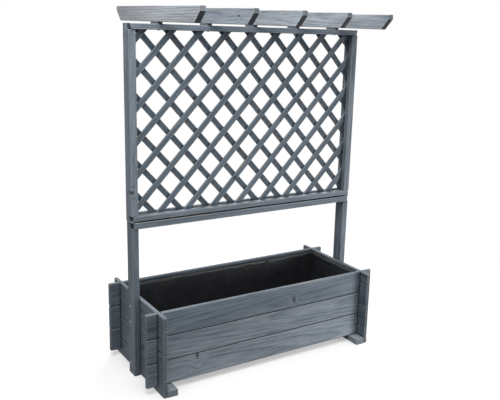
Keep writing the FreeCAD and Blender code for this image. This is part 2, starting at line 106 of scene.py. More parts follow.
# %% [markdown]
# ## Stained pine
#
# A board is a slice of a trunk, so its grain is a slice of growth rings.  A picture of planks
# could be wrapped round each piece, but it would break at every edge.  The honest way is a solid
# pattern: measure how far each point is from the heart of the trunk, and colour it by where it
# falls between two rings.  A face cut near the heart then shows long arches, the end shows curved
# lines, and the two agree by themselves.
#
# Knots push the rings aside, fine fibres run along the grain, and blotches show where the stain
# soaked in more.  All sizes here are in millimetres of real wood.

# %% Sizes of the wood's pattern
RING = 8.0  # fast-grown pine, at its widest, so that the rings show
RING_WOBBLE = 14  # how far a ring strays from a circle
WOBBLE_LONG = 420  # how long a stray runs along the grain
WOBBLE_WIDE = 75  # and how far round the trunk
KNOT_SPACING = 250
KNOT_WIDE = 17
KNOT_REACH = 40  # how far from its middle a knot still bends the rings
KNOT_PUSH = 9  # how far it pushes them
FACE_AWAY = 40  # how far a wide face is from the heart, on average
FIBRE_LONG = 150
# Real fibres are about 0.1 mm wide; they are drawn coarser so that they show in a picture.
FIBRE_WIDE = 3.2
BLOTCH_LONG = 300
BLOTCH_WIDE = 60
print("rings across a 100 mm board:", round(100 / RING))

# %% [markdown]
# A plain noise is as long as it is wide, and wood isn't.  Scale alone would do if every piece lay
# the same way.  Here the Mapping node called Heart first moves the point into the trunk's own
# frame, with X along the grain, Y out through the wide face, and the heart at zero.  Then the
# point is shrunk along the grain, which stretches the noise that is looked up there.

# %% The trunk and its noises
NOISES = (
    # name, length along the grain, width across it, layers of finer detail
    ("wobble", WOBBLE_LONG, WOBBLE_WIDE, 2),
    ("fibre", FIBRE_LONG, FIBRE_WIDE, 4),
    ("blotch", BLOTCH_LONG, BLOTCH_WIDE, 3),
)
LAYER_STRENGTH = 0.6  # each finer layer, as a share of the one before


def trunk_and_noises(tree):
    """The point in the trunk's frame, and the noises that bend the rings and vary the stain."""
    place = add_node(tree, "TexCoord").outputs["Object"]
    trunk = add_node(tree, "Mapping", {"Vector": place}, name="Heart", vector_type="TEXTURE")
    noises = {}
    for name, long, wide, detail in NOISES:
        shrink = (1 / (long * MM), 1 / (wide * MM), 1 / (wide * MM))
        point = add_node(tree, "VectorMath", {0: trunk, 1: shrink}, operation="MULTIPLY")
        noises[name] = add_node(tree, "TexNoise",
                                {"Vector": point, "Scale": 1, "Detail": detail,
                                 "Roughness": LAYER_STRENGTH})
    return trunk, noises


print("a fibre is", round(FIBRE_LONG / FIBRE_WIDE), "times as long as it is wide")

# %% [markdown]
# A knot is the foot of a branch, and a branch grows straight out from the heart.  Spots strewn
# through the solid would be balls without a core.  So the knots are laid out on a flat map of the
# trunk's skin, whose two ways are the length and the angle round the heart, and each point of a
# Voronoi pattern on that map is a branch.  Its middle is filled with knot wood, and near it the
# rings are pushed aside.

# %% Knots
KNOT_CORE = 0.6  # where knot wood starts to thin out, as a share of the knot's radius
KNOT_EDGE = 1.2  # and where it ends


def branch_knots(tree, trunk):
    """Whether a point is in a knot, and by how many rings the knot pushes the wood aside."""
    axes = add_node(tree, "SeparateXYZ", {0: trunk}).outputs
    angle = add_node(tree, "Math", {0: axes["Z"], 1: axes["Y"]}, operation="ARCTAN2")
    round_trunk = add_node(tree, "Math", {0: angle, 1: FACE_AWAY * MM}, operation="MULTIPLY")
    skin = add_node(tree, "CombineXYZ", {"X": axes["X"], "Y": round_trunk})
    gap = add_node(tree, "TexVoronoi",
                   {"Vector": skin, "Scale": 1 / (KNOT_SPACING * MM)}, voronoi_dimensions="2D")
    rim = KNOT_WIDE / 2 / KNOT_SPACING
    knot = add_node(tree, "MapRange",
                    {"Value": gap, "From Min": KNOT_CORE * rim, "From Max": KNOT_EDGE * rim,
                     "To Min": 1, "To Max": 0}, interpolation_type="SMOOTHSTEP")
    push = add_node(tree, "MapRange",
                    {"Value": gap, "From Min": 0, "From Max": KNOT_REACH / KNOT_SPACING,
                     "To Min": KNOT_PUSH / RING, "To Max": 0}, interpolation_type="SMOOTHSTEP")
    return knot, push


print("a knot of", KNOT_WIDE, "mm bends the rings for", KNOT_REACH, "mm")

# %% [markdown]
# Early wood is pale and soft.  It darkens slowly towards the late wood, and then drops back to
# pale at once where the next spring began.  A sine wave would make both sides alike, so a colour
# ramp over the fraction of a ring draws that saw-tooth.

# %% Growth rings
SAW_TOOTH = (
    # how far through the year's ring, and how much of the wood is late wood there
    (0.0, 0.5), (0.12, 0.0), (0.5, 0.15), (0.8, 0.75), (0.92, 1.0), (1.0, 0.6),
)


def growth_rings(tree, trunk, wobble, push):
    """How much late wood there is at a point."""
    across = add_node(tree, "VectorMath",
                      {0: trunk, 1: (0, 1 / (RING * MM), 1 / (RING * MM))}, operation="MULTIPLY")
    away = add_node(tree, "VectorMath", {0: across}, operation="LENGTH")
    bent = add_node(tree, "Math",
                    {0: wobble, 1: RING_WOBBLE / RING, 2: away.outputs["Value"]},
                    operation="MULTIPLY_ADD")
    count = add_node(tree, "Math", {0: bent, 1: push}, operation="ADD")
    part = add_node(tree, "Math", {0: count}, operation="FRACT")
    late = add_node(tree, "ValToRGB", {"Fac": part})
    stops = late.color_ramp.elements
    for position, _ in SAW_TOOTH[1:-1]:
        stops.new(position)
    for stop, (_, share) in zip(stops, SAW_TOOTH):
        stop.color = (share, share, share, 1)
    return late


print("stops on the ramp of one ring:", len(SAW_TOOTH))

# %% [markdown]
# The stain also shows which way a face looks.  End grain drinks the most and turns dark, which
# takes in the slanted cuts under the rafters' ends.  That mask is made from the face's own
# direction, turned into the piece's frame by the node called Facing.
#
# Edges hold little stain and get rubbed, and here and there the bare wood shows as a thin tan
# line.  Elsewhere along the edges a light grey is painted in: a painted highlight, where light
# would catch the round of the edge.  The Bevel node gives the direction that a rounded surface
# would have.  Where that isn't the direction of the face, an edge is near.
#
# Faces that look down are painted darker: painted shade, for the light they don't get.  Joints
# and inside corners are painted dark too, a painted shade for the shadow that falls there.  The
# Ambient Occlusion node measures how shut in a point is.  These places could be painted by hand,
# but the nodes find them on every piece, and from any side.

# %% Where the stain is deep, where it is worn, and where highlight and shade are painted
WEAR_AND_HIGHLIGHT_REACH = 4  # twice the real width, or it would not show
# how far into a joint the painted shade reaches
JOINT_SHADE_REACH = 8  # how near the next piece has to be
EDGE_SAMPLES = 6
SPACE_SAMPLES = 8
MASKS = (
    # name, where it begins, where it is full, how strong it is there
    ("end", 0.4, 0.75, 0.45),  # how far the face looks along the grain
    # edges: rubbed stain, bare wood, and a painted highlight
    ("edge", 0.998, 0.96, 1.0),  # how alike the sharp and the rounded direction are
    # faces that look down: painted shade
    ("under", -0.1, -0.6, 0.9),  # how far the face looks up
    # how shut in a point is: painted shade in joints and inside corners
    ("pool", 0.88, 0.68, 0.4),  # how open the space is; the boards get a stronger one
)


def wear_and_light_masks(tree):
    """Masks for end grain, edge wear and painted highlight, and painted shade."""
    normal = add_node(tree, "NewGeometry").outputs["True Normal"]
    facing = add_node(tree, "Mapping", {"Vector": normal}, name="Facing", vector_type="TEXTURE")
    size = add_node(tree, "VectorMath", {0: facing}, operation="ABSOLUTE")
    rounded = add_node(tree, "Bevel", {"Radius": WEAR_AND_HIGHLIGHT_REACH * MM}, samples=EDGE_SAMPLES)
    measured = {
        "end": add_node(tree, "SeparateXYZ", {0: size}).outputs["X"],
        "edge": add_node(tree, "VectorMath", {0: rounded, 1: normal},
                         operation="DOT_PRODUCT").outputs["Value"],
        "under": add_node(tree, "SeparateXYZ", {0: normal}).outputs["Z"],
        "pool": add_node(tree, "AmbientOcclusion", {"Distance": JOINT_SHADE_REACH * MM},
                         samples=SPACE_SAMPLES).outputs["AO"],
    }
    return {name: add_node(tree, "MapRange",
                           {"Value": measured[name], "From Min": begins, "From Max": full,
                            "To Max": strength}, name=name)
            for name, begins, full, strength in MASKS}


print("masks:", ", ".join(name for name, *_ in MASKS))

# %% [markdown]
# The stain is thin and takes its depth from the wood under it.  One noise for that would look
# like a cloud, so three layers are added up: streaks of fibre, patches, and a little late wood.

# %% How deep the stain is
FIBRE_SHARE = 1.5
BLOTCH_SHARE = 1.1
LATE_SHARE = 0.38
PALEST_SUM = 0.95  # where the sum of the three stands for the palest stain
DEEPEST_SUM = 1.95  # and where for the deepest


def stain_depth(tree, noises, late):
    """How deep the stain is, from 0 to 1."""
    total = 0.0
    for layer, share in ((noises["fibre"], FIBRE_SHARE), (noises["blotch"], BLOTCH_SHARE),
                         (late, LATE_SHARE)):
        total = add_node(tree, "Math", {0: layer, 1: share, 2: total}, operation="MULTIPLY_ADD")
    return add_node(tree, "MapRange",
                    {"Value": total, "From Min": PALEST_SUM, "From Max": DEEPEST_SUM})


print("the fibres count", round(FIBRE_SHARE / LATE_SHARE, 1), "times as much as the late wood")

# %% [markdown]
# The colours go on in the order in which they reached the real wood.  First the stain, with the
# knots and the end grain darker.  Then each piece's own tone, which is partly its own colour,
# since
# no two boards drink alike, and mostly painted light and shade.  Then wear and painted light:
# rubbed edges with a painted highlight, and painted shade on undersides and in joints, the same
# whatever the tone.  One flat colour for each piece would be simpler, and would look painted.

# %% The colours of stained pine, with its painted highlight and shade
STAIN_PALE = "#989fa6"
STAIN_DEEP = "#525b63"
STAIN_END = "#626a71"
KNOT_WOOD = "#3d4043"
# painted highlight along the edges, a light grey over the rubbed stain
RUBBED_EDGE_HIGHLIGHT = "#949ba2"
BARE_WOOD = "#aea491"
# painted shade on faces that look down
UNDERSIDE_PAINTED_SHADE = "#2f353a"
# painted shade in joints and inside corners
JOINT_PAINTED_SHADE = "#1c2024"
BARE_FROM, BARE_TO = 0.54, 0.62  # only the high spots of the slow noise are worn bare
# the fibres break up both the wear and the painted highlight
PATCH_FROM, PATCH_TO = 0.35, 0.65  # between these, the fibres decide how worn an edge is
LEAST_WEAR_AND_HIGHLIGHT, MOST_WEAR_AND_HIGHLIGHT = 0.25, 0.9


def worn_and_highlit_edges(tree, edge, noises):
    """How much wear and painted highlight an edge has, and the colour painted there."""
    bare = add_node(tree, "MapRange",
                    {"Value": noises["wobble"], "From Min": BARE_FROM, "From Max": BARE_TO})
    # a grey painted highlight, turning to the tan of bare wood where the slow noise is high
    rubbed_and_highlit = add_node(tree, "Mix",
                      {0: bare, 6: linear(RUBBED_EDGE_HIGHLIGHT), 7: linear(BARE_WOOD)}, data_type="RGBA")
    patchy = add_node(tree, "MapRange",
                      {"Value": noises["fibre"], "From Min": PATCH_FROM, "From Max": PATCH_TO,
                       "To Min": LEAST_WEAR_AND_HIGHLIGHT, "To Max": MOST_WEAR_AND_HIGHLIGHT})
    wear_and_highlight = add_node(tree, "Math", {0: edge, 1: patchy}, operation="MULTIPLY")
    return wear_and_highlight, rubbed_and_highlit.outputs[2]


def stain_colour(tree, depth, knot, masks, noises):
    """Stained wood's colour, with its tone, its wear, and painted highlight and shade."""
    wear_and_highlight, rubbed_and_highlit = worn_and_highlit_edges(tree, masks["edge"], noises)
    stain = ((depth, linear(STAIN_DEEP), "MIX"), (knot, linear(KNOT_WOOD), "MIX"),
             (masks["end"], linear(STAIN_END), "MULTIPLY"))
    # rubbed edges with a painted highlight, then painted shade below and in the joints
    wear_and_painted_light = ((wear_and_highlight, rubbed_and_highlit, "MIX"), (masks["under"], linear(UNDERSIDE_PAINTED_SHADE), "MULTIPLY"),
               (masks["pool"], linear(JOINT_PAINTED_SHADE), "MIX"))
    colour = linear(STAIN_PALE)
    for mask, tint, blend in stain:
        colour = add_node(tree, "Mix", {0: mask, 6: colour, 7: tint},
                          data_type="RGBA", blend_type=blend).outputs[2]
    # this node carries each piece's tone, and with it the painted light and shade
    colour = add_node(tree, "HueSaturation", {"Color": colour}, name="Tone")
    for mask, tint, blend in wear_and_painted_light:
        colour = add_node(tree, "Mix", {0: mask, 6: colour, 7: tint},
                          data_type="RGBA", blend_type=blend).outputs[2]
    return colour


print("the stain runs from", STAIN_PALE, "to", STAIN_DEEP)

# %% [markdown]
# Stained wood is matt, a little less so on the dense late wood, and mirrors little.  Its fibres
# stand up under the stain.  As geometry they would be millions of faces, so a bump map draws
# them, while every edge and joint is real.  The floor timber and the feet are left as the saw cut
# them, with fine marks across the grain.

# %% The surface of stained pine
EARLY_ROUGH = 0.68
LATE_ROUGH = 0.54
WEAK_MIRROR = 0.25
RELIEF = 0.35  # the highest fibre above the lowest
RELIEF_STRENGTH = 0.5
LATE_HEIGHT = 0.3  # how high late wood and saw marks stand, as a share of the fibres
MARK_HEIGHT = 0.8
SAW_MARK = 3.5  # real marks are about 1.5 mm apart, and would not show
MARK_WANDER = 3
WAVE_PERIOD = 2 * math.pi / 20  # of a Wave texture whose scale is 1


def wood_surface(tree, shader, trunk, late, fibre, saw_marks):
    """Give the shader the roughness, the relief and the weak mirror of stained wood."""
    rough = add_node(tree, "MapRange",
                     {"Value": late, "To Min": EARLY_ROUGH, "To Max": LATE_ROUGH})
    height = add_node(tree, "Math", {0: late, 1: LATE_HEIGHT, 2: fibre.outputs[0]},
                      operation="MULTIPLY_ADD")
    if saw_marks:
        marks = add_node(tree, "TexWave",
                         {"Vector": trunk, "Scale": WAVE_PERIOD / (SAW_MARK * MM),
                          "Distortion": MARK_WANDER, "Detail Scale": 0.5})
        height = add_node(tree, "Math", {0: marks, 1: MARK_HEIGHT, 2: height},
                          operation="MULTIPLY_ADD")
    bump = add_node(tree, "Bump",
                    {"Height": height, "Strength": RELIEF_STRENGTH, "Distance": RELIEF * MM})
    tree.links.new(rough.outputs[0], shader.inputs["Roughness"])
    tree.links.new(bump.outputs[0], shader.inputs["Normal"])
    shader.inputs["Specular IOR Level"].default_value = WEAK_MIRROR


def stained_pine(name, saw_marks):
    """Pine in a grey-blue stain, planed smooth or left with the marks of the saw."""
    material, tree, shader = new_material(name)
    trunk, noises = trunk_and_noises(tree)
    knot, push = branch_knots(tree, trunk)
    late = growth_rings(tree, trunk, noises["wobble"], push)
    depth = stain_depth(tree, noises, late)
    colour = stain_colour(tree, depth, knot, wear_and_light_masks(tree), noises)
    tree.links.new(colour, shader.inputs["Base Color"])
    wood_surface(tree, shader, trunk, late, noises["fibre"], saw_marks)
    return material


planed = stained_pine("stained_planed_pine", False)
sawn = stained_pine("stained_sawn_pine", True)
print("nodes in the planed pine:", len(planed.node_tree.nodes))

# %% [markdown]
# The table says which way each piece's grain runs and how dark it is painted.  A tone of 1 is the
# stain as its colours say.  The tones are mostly painted light and shade: the rafters are painted
# brightest, as if they stood in the sun, and the rough feet are lighter as well.  The box and the
# legs are painted darker, and the lattice and the blocks under the rafters, in the shade of the
# frame and the rafters, are painted darkest.  The tones could be drawn at random, but these follow
# the light.

# %% The grain of each piece
PITCH_ACROSS = 118.3 * MM  # from one crossing of the lattice to the next
PITCH_UP = 127.2 * MM
LATTICE_ANGLE = math.atan2(PITCH_UP, PITCH_ACROSS)
ALONG_X = (0, 0, 0)
ALONG_Y = (0, 0, math.pi / 2)
ALONG_Z = (0, -math.pi / 2, 0)
GRAIN = (
    # start of the name, turn of the grain, tone with its painted light, how the surface was made
    ("front_board_upper", ALONG_X, 0.57, planed),
    ("front_board_middle", ALONG_X, 0.77, planed),
    ("front_board_lower", ALONG_X, 0.82, planed),
    ("back_board", ALONG_X, 0.56, planed),
    ("left_end_board", ALONG_Y, 0.57, planed),
    ("right_end_board", ALONG_Y, 0.44, planed),
    ("foot", ALONG_Y, 1.1, sawn),
    ("floor_bearer", ALONG_Y, 0.85, sawn),
    ("floor_slat", ALONG_X, 0.85, sawn),
    ("leg", ALONG_Z, 0.61, planed),
    ("stile", ALONG_Z, 0.74, planed),
    ("cross_rail", ALONG_X, 0.58, planed),
    ("bottom_rail", ALONG_X, 0.62, planed),
    ("top_rail", ALONG_X, 0.66, planed),
    ("rear_lath_top", ALONG_X, 0.8, planed),
    ("rear_lath_bottom", ALONG_X, 0.8, planed),
    ("rear_lath", ALONG_Z, 0.8, planed),
    ("lattice_front", (0, -LATTICE_ANGLE, 0), 0.47, planed),
    ("lattice_back", (0, LATTICE_ANGLE, 0), 0.32, planed),
    ("rafter_spacers", ALONG_Y, 0.45, planed),
    ("rafter_1", ALONG_Y, 1.23, planed),
    ("rafter_2", ALONG_Y, 0.92, planed),
    ("rafter", ALONG_Y, 1.05, planed),
)
random.seed(11)


def rule_of(name):
    """The first row of the table that fits a piece, or None for what isn't timber."""
    return next((rule for rule in GRAIN if name.startswith(rule[0])), None)


timber = [name for name in sorted(nodes) if rule_of(name)]
print("pieces of timber:", len(timber))

# %% [markdown]
# Every piece was cut from a trunk of its own.  With one shared pattern the grain would run on
# from board to board, so each piece gets a copy of the material and its own place in the trunk.
#
# Sawyers cut boards with their wide face towards the bark, so the heart lies behind the wide
# face.  It is also tilted by a degree or two, and that tilt draws the long arches.

# %% Give each piece its own slice of a trunk
ALONG_TRUNK = 2.0  # how far up or down the trunk a piece may come from, in metres
NEAREST_HEART = FACE_AWAY - 18
FURTHEST_HEART = FACE_AWAY + 20
OFF_CENTRE = 25
TILT = 1.7  # in degrees
TONE_LOW, TONE_HIGH = 0.94, 1.06
# The lower a piece's tone, the bluer it is; pieces painted brighter go a plainer grey.
BLUEST, GREYING_WHEN_LIT = 2.4, 1.4
JOINT_SHADE_ON_BOARDS = 0.92


def own_pine(piece):
    """A copy of the pine with its own heart, tilt, grain direction, and tone with painted light.
    """
    _, turn, tone, finish = rule_of(piece.name)
    low, high = (Vector(corner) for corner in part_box(piece.name))
    along = (Matrix.Rotation(turn[2], 3, "Z") @ Matrix.Rotation(turn[1], 3, "Y")
             @ Vector((1, 0, 0)))
    thin = min((a for a in range(3) if abs(along[a]) < 0.1), key=lambda a: (high - low)[a])
    out = Vector([random.choice((-1.0, 1.0)) if a == thin else 0.0 for a in range(3)])
    side = along.cross(out)
    heart = (low + high) / 2 + along * random.uniform(-ALONG_TRUNK, ALONG_TRUNK)
    heart -= out * random.uniform(NEAREST_HEART, FURTHEST_HEART) * MM
    heart += side * random.uniform(-OFF_CENTRE, OFF_CENTRE) * MM
    spin = Matrix((along, out, side)).transposed()
    tilt = Matrix.Rotation(math.radians(random.uniform(-TILT, TILT)), 3, "Z")
    tilt = tilt @ Matrix.Rotation(math.radians(random.uniform(-TILT, TILT)), 3, "Y")

    own = finish.copy()
    own.name = finish.name + "_" + piece.name
    parts = own.node_tree.nodes
    parts["Heart"].inputs["Location"].default_value = heart
    parts["Heart"].inputs["Rotation"].default_value = (spin @ tilt).to_euler()
    parts["Facing"].inputs["Rotation"].default_value = spin.to_euler()
    # the tone from the table paints light and shade; the small random share is the piece's own
    parts["Tone"].inputs["Value"].default_value = tone * random.uniform(TONE_LOW, TONE_HIGH)
    parts["Tone"].inputs["Saturation"].default_value = BLUEST - GREYING_WHEN_LIT * tone
    # boards get a stronger painted shade in their joints
    if "board" in piece.name:
        parts["pool"].inputs["To Max"].default_value = JOINT_SHADE_ON_BOARDS
    piece.data.materials.clear()
    piece.data.materials.append(own)


for name in timber:
    own_pine(nodes[name])
print("own slices:", len(timber))

# %% [markdown]
# A CAD edge is perfectly sharp, and no worked edge is.  Light catches the small round on a real
# edge and draws a thin bright line there.  Fillets in the CAD would be thousands of small faces.
# A Weld and a Bevel modifier give each piece that round without touching the CAD mesh itself.

# %% Soften the edges
EDGE_ROUND = 0.7
SAME_CORNER = 0.01  # CAD corners nearer than this are one corner
SHARPER_THAN = 20  # degrees between two faces that make an edge

for name in timber:
    weld = nodes[name].modifiers.new("Join the corners", "WELD")
    weld.merge_threshold = SAME_CORNER * MM
    bevel = nodes[name].modifiers.new("Round the edges", "BEVEL")
    bevel.width = EDGE_ROUND * MM
    bevel.segments = 2
    bevel.limit_method = "ANGLE"
    bevel.angle_limit = math.radians(SHARPER_THAN)
print("edges rounded to", EDGE_ROUND, "mm")

# %% [markdown]
# ## Zinc-plated steel
#
# Outdoor screws, nails and staples are steel wire with a thin coat of zinc.  New zinc is pale
# and a little blue; outdoors it clouds over within weeks.  So the metal is fully metallic, but
# its roughness is blotchy and never mirror-like, which tells it from stainless steel.

# %% Zinc-plated steel
ZINC_BRIGHT = "#b9bcbf"
ZINC_CLOUDED = "#8f9396"
BRIGHT_ROUGH = 0.3
CLOUDED_ROUGH = 0.55
SPANGLE = 1.5  # the width of a cloud on a head of 8 mm


def zinc_plated_steel():
    """Wire with a coat of zinc that has clouded outdoors."""
    material, tree, shader = new_material("zinc_plated_steel_wire")
    place = add_node(tree, "TexCoord").outputs["Object"]
    cloud = add_node(tree, "TexNoise", {"Vector": place, "Scale": 1 / (SPANGLE * MM), "Detail": 3})
    colour = add_node(tree, "Mix",
                      {0: cloud, 6: linear(ZINC_BRIGHT), 7: linear(ZINC_CLOUDED)},
                      data_type="RGBA")
    rough = add_node(tree, "MapRange",
                     {"Value": cloud, "To Min": BRIGHT_ROUGH, "To Max": CLOUDED_ROUGH})
    tree.links.new(colour.outputs[2], shader.inputs["Base Color"])
    tree.links.new(rough.outputs[0], shader.inputs["Roughness"])
    shader.inputs["Metallic"].default_value = 1.0
    return material


zinc = zinc_plated_steel()
print("zinc spangle:", SPANGLE, "mm")

# %% [markdown]
# ## Screws
#
# A screw head is small, but it is what the eye looks for on a leg.  The CAD screws are plain, so
# each is built again here with a cross recess.  A Boolean could cut the cross, but it leaves
# ragged faces on something so small.  A screw is turned, so rings of points are the natural way
# to make it, and where a point of the head falls inside the cross, it is pushed down.

# %% The shape of a screw
SHANK = 2.0  # radii of the shank and the head
HEAD = 4.0
PAN_HIGH = 2.5
PAN_FALL = 0.6  # how much lower the rim of a pan head is than its middle
PAN_LIFT = 0.2  # how high its rim ends above the wood
SINK_DEEP = 2.0
POINT_LONG = 3.0
POINT_BLUNT = 0.5  # the radius at the tip
POINT_BACK = 0.2  # how far the tip stays inside the CAD screw
RECESS_LONG = 2.3
RECESS_WIDE = 0.55
RECESS_DEEP = 1.6
AROUND = 40
HEAD_RINGS = 14


def recess(x, y):
    """How far the cross recess goes down at a point of the head."""
    for long, wide in ((abs(x), abs(y)), (abs(y), abs(x))):
        if wide <= RECESS_WIDE and long <= RECESS_LONG:
            return RECESS_DEEP * (1 - 0.5 * long / RECESS_LONG)
    return 0.0


def screw_rings(form, length):
    """Radius and depth of each ring, from the middle of the head to the point."""
    top, fall = (-PAN_HIGH, PAN_FALL) if form == "pan" else (0.0, 0.0)
    head = [HEAD * k / HEAD_RINGS for k in range(1, HEAD_RINGS + 1)]
    rings = [(radius, top + fall * (radius / HEAD) ** 4) for radius in head]
    rings += [(HEAD, -PAN_LIFT), (SHANK, 0.0)] if form == "pan" else [(SHANK, SINK_DEEP)]
    return rings + [(SHANK, length - POINT_LONG), (POINT_BLUNT, length - POINT_BACK)]


print("a 38 mm countersunk screw has", len(screw_rings("countersunk", 38)), "rings")

# %% [markdown]
# Many small pieces of one kind are best kept as one mesh, since a hundred objects are hard to
# name.  The first helper turns lists of points and faces into an object that rides on the
# planter's one body, and the second fills such lists with screws.

# %% Make a fixed piece from points and faces
def fixed_piece(name, points, faces, finish):
    """An object that stays where its points are, with its finish."""
    mesh = bpy.data.meshes.new(name)
    mesh.from_pydata([tuple(p) for p in points], [], faces)
    mesh.materials.append(finish)
    piece = bpy.data.objects.new(name, mesh)
    scene.collection.objects.link(piece)
    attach(piece, BODY)
    return piece


def screws(name, form, length, places):
    """A screw at every place, each a point under the head and the way the shank runs."""
    rings = screw_rings(form, length)
    points, faces = [], []
    for place, direction in places:
        turn = direction.to_track_quat("Z", "Y").to_matrix()
        first = len(points)
        points.append(place + turn @ Vector((0, 0, rings[0][1] + recess(0, 0))) * MM)
        for row, (radius, z) in enumerate(rings):
            for k in range(AROUND):
                x = radius * math.cos(2 * math.pi * k / AROUND)
                y = radius * math.sin(2 * math.pi * k / AROUND)
                down = recess(x, y) if row < HEAD_RINGS else 0.0
                points.append(place + turn @ Vector((x, y, z + down)) * MM)
        for k in range(AROUND):
            after = (k + 1) % AROUND
            faces.append((first, first + 1 + after, first + 1 + k))
            for row in range(len(rings) - 1):
                a = first + 1 + row * AROUND
                faces.append((a + k, a + after, a + AROUND + after, a + AROUND + k))
        last = first + 1 + (len(rings) - 1) * AROUND
        faces.append([last + k for k in reversed(range(AROUND))])
    return fixed_piece(name, points, faces, zinc)


print("points on one leg screw:", 1 + AROUND * len(screw_rings("countersunk", 38)))

# %% [markdown]
# The places and lengths could be typed in, but they would be wrong after the next change to the
# CAD, so they are read from the CAD screws.  One node holds all the screws of a kind, so its mesh
# is first parted into separate solids: corners that share a face belong together.

# %% Part a CAD node into its separate solids
def separate_solids(name):
    """The low and high corner of every separate solid in a CAD node."""
    mesh = nodes[name].data
    keys = [tuple(round(c, 6) for c in vertex.co) for vertex in mesh.vertices]
    owner = {key: key for key in keys}

    def root(key):
        while owner[key] != key:
            key = owner[key]
        return key

    for face in mesh.polygons:
        first = root(keys[face.vertices[0]])
        for index in face.vertices[1:]:
            owner[root(keys[index])] = first
    groups = {}
    for key in owner:
        groups.setdefault(root(key), []).append(key)
    return [(Vector([min(p[a] for p in group) for a in range(3)]),
             Vector([max(p[a] for p in group) for a in range(3)])) for group in groups.values()]


print("separate leg screws:", len(separate_solids("leg_screws")))

# %% [markdown]
# The leg screws are driven from outside towards the box, the cross rail's from behind, and the
# others from below.  Each new screw starts where the CAD one starts and is as long, so it fits
# the same hole.

# %% Put a detailed screw where each CAD screw is
SCREW_GROUPS = (
    # name, form of the head, the axis that the shanks run along
    ("leg_screws", "countersunk", 0),
    ("cross_rail_screws", "pan", 1),
    ("frame_screws", "pan", 2),
    ("rafter_screws", "pan", 2),
)
for name, form, axis in SCREW_GROUPS:
    places = []
    for low, high in separate_solids(name):
        start = (low + high) / 2
        sign = {0: -math.copysign(1, start.x), 1: -1, 2: 1}[axis]
        start[axis] = low[axis] if sign > 0 else high[axis]
        length = (high[axis] - low[axis]) / MM
        if form == "pan":
            start[axis] += sign * PAN_HIGH * MM
            length -= PAN_HIGH
        places.append((start, Vector([sign if a == axis else 0 for a in range(3)])))
    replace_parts(screws(name + "_cross_head", form, length, places), name)
    print(name, len(places), "of", round(length, 1), "mm")

# %% [markdown]
# ## Nails and staples
#
# The laths behind the lattice are nailed on, and a wire staple holds the two layers of strips
# together wherever they cross.  Both are driven from behind, where nobody looks.  A nail shows
# only its head, a thin flat disc, and a staple only its crown, a short piece of flat wire.  So
# shanks and legs are left off: each is a plate, with an outline, a thickness and a place.

# %% Plates
NAIL_HEAD = 2.6  # the radius of the head
NAIL_THICK = 0.6
NAIL_SIDES = 20
STAPLE_HALF = 5.0  # half the crown's length and half its wire's width
WIRE_HALF = 0.6
STAPLE_TIP = 0.4
STAPLE_THICK = 0.8


def plates(name, outline, thick, places):
    """The same plate at every place, each a point, the way the plate looks, and its turn."""
    points, faces = [], []
    count = len(outline)
    for place, looks, spin in places:
        turn = looks.to_track_quat("Y", "Z").to_matrix() @ Matrix.Rotation(spin, 3, "Y")
        first = len(points)
        for y in (0.0, thick):
            points += [place + turn @ Vector((x, y, z)) * MM for x, z in outline]
        faces.append([first + k for k in range(count)])
        faces.append([first + count + k for k in reversed(range(count))])
        for k in range(count):
            after = (k + 1) % count
            faces.append((first + k, first + count + k, first + count + after, first + after))
    return fixed_piece(name, points, faces, zinc)


disc = [(NAIL_HEAD * math.cos(2 * math.pi * k / NAIL_SIDES),
         NAIL_HEAD * math.sin(2 * math.pi * k / NAIL_SIDES)) for k in range(NAIL_SIDES)]
crown = [(-STAPLE_HALF, -WIRE_HALF), (STAPLE_HALF, -WIRE_HALF), (STAPLE_HALF + STAPLE_TIP, 0),
         (STAPLE_HALF, WIRE_HALF), (-STAPLE_HALF, WIRE_HALF), (-STAPLE_HALF - STAPLE_TIP, 0)]
print("nail heads", 2 * NAIL_HEAD, "mm wide, staples", 2 * STAPLE_HALF, "mm")

# %% [markdown]
# Nails go between the ends of the strips, so their places are counted in the lattice's pitch.
# Staples sit on every crossing that the laths leave free.  A staple gun is held by hand, so each
# crown is turned a little another way.

# %% Drive the nails and the staples
BACKWARD = Vector((0, 1, 0))
SUNK = 0.2 * MM
STAPLE_SUNK = 0.1 * MM
FIRST_CROSSING = 33 * MM  # below the top of the lath
KEEP_OFF = 12 * MM  # a staple stays this far from the laths
NAILS_ACROSS = (-3.5, -1.5, 0.5, 2.5)
NAILS_DOWN = (0.6, 2.1, 3.6, 5.1)
STAPLE_ROWS = 12
STAPLE_SKEW = 0.5  # radians either way

top_low, top_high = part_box("rear_lath_top")
side_low, side_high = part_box("rear_lath_right")
bottom_low, bottom_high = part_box("rear_lath_bottom")
crossing_top = top_high[2] - FIRST_CROSSING
side_x = (side_low[0] + side_high[0]) / 2
nail_y = top_high[1] - SUNK
nails = [(Vector((k * PITCH_ACROSS, nail_y, (low[2] + high[2]) / 2)), BACKWARD, 0)
         for low, high in ((top_low, top_high), (bottom_low, bottom_high))
         for k in NAILS_ACROSS]
nails += [(Vector((side * side_x, nail_y, crossing_top - k * PITCH_UP)), BACKWARD, 0)
          for side in (-1, 1) for k in NAILS_DOWN]
plates("lath_nails", disc, NAIL_THICK, nails)

staple_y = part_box("lattice_back_4")[1][1] - STAPLE_SUNK
side_free = side_low[0] - KEEP_OFF
low_free, high_free = bottom_high[2] + KEEP_OFF, top_low[2] - KEEP_OFF
staples = []
for row in range(STAPLE_ROWS):
    z = crossing_top - row * PITCH_UP / 2
    for k in range(-5, 6):
        x = (k + 0.5 * (row % 2)) * PITCH_ACROSS
        if abs(x) < side_free and low_free < z < high_free:
            skew = random.uniform(-STAPLE_SKEW, STAPLE_SKEW)
            staples.append((Vector((x, staple_y, z)), BACKWARD, skew))
plates("lattice_staples", crown, STAPLE_THICK, staples)
print("nails:", len(nails), "staples:", len(staples))

